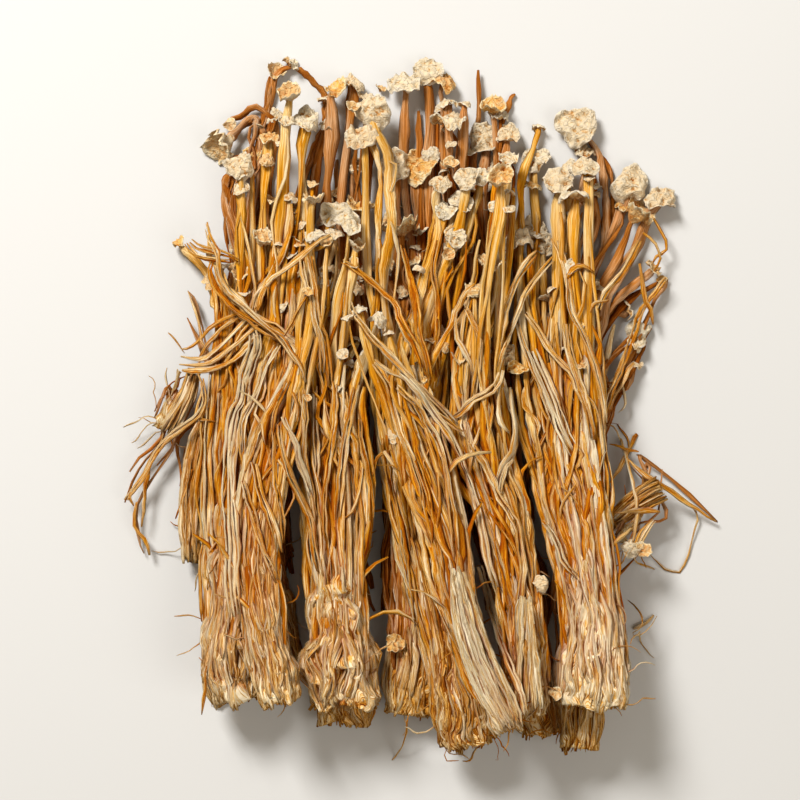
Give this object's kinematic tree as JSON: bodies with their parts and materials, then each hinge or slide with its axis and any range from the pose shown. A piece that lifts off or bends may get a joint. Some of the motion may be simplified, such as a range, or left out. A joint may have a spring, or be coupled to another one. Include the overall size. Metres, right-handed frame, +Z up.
{
  "type": "dried enoki mushroom bunch",
  "caption": "Heap of dried enoki mushrooms lying flat: fibrous grown-together feet, long thin wrinkled stems and small crumpled caps, all pointing one way.",
  "frame": {"origin": "bottom centre of the whole heap's box, on the surface that it lies on", "axes": "+Y along the stems towards the caps, +X across the heap, +Z up"},
  "size_m": [0.1528, 0.176, 0.0323],
  "materials": {
    "stem": "dry fibrous golden tan, matte with a faint sheen on the ridges",
    "brown_stem": "dry fibrous brown, matte",
    "cap": "matte wrinkled cream with amber folds",
    "foot": "matte stringy beige tan with ragged ends"
  },
  "bodies": {
    "root": {"lower_left": "brown_stem", "lower_mid_left": "brown_stem", "lower_mid": "brown_stem", "lower_mid_right": "brown_stem", "lower_right": "brown_stem", "fragment_left": "brown_stem", "fragment_left_outer": "brown_stem", "fragment_right": "brown_stem", "mid": "stem", "left": "stem", "mid_left": "stem", "left_inner": "stem", "right": "stem", "mid_right": "stem", "mid_upper": "stem"}
  },
  "joints": []
}
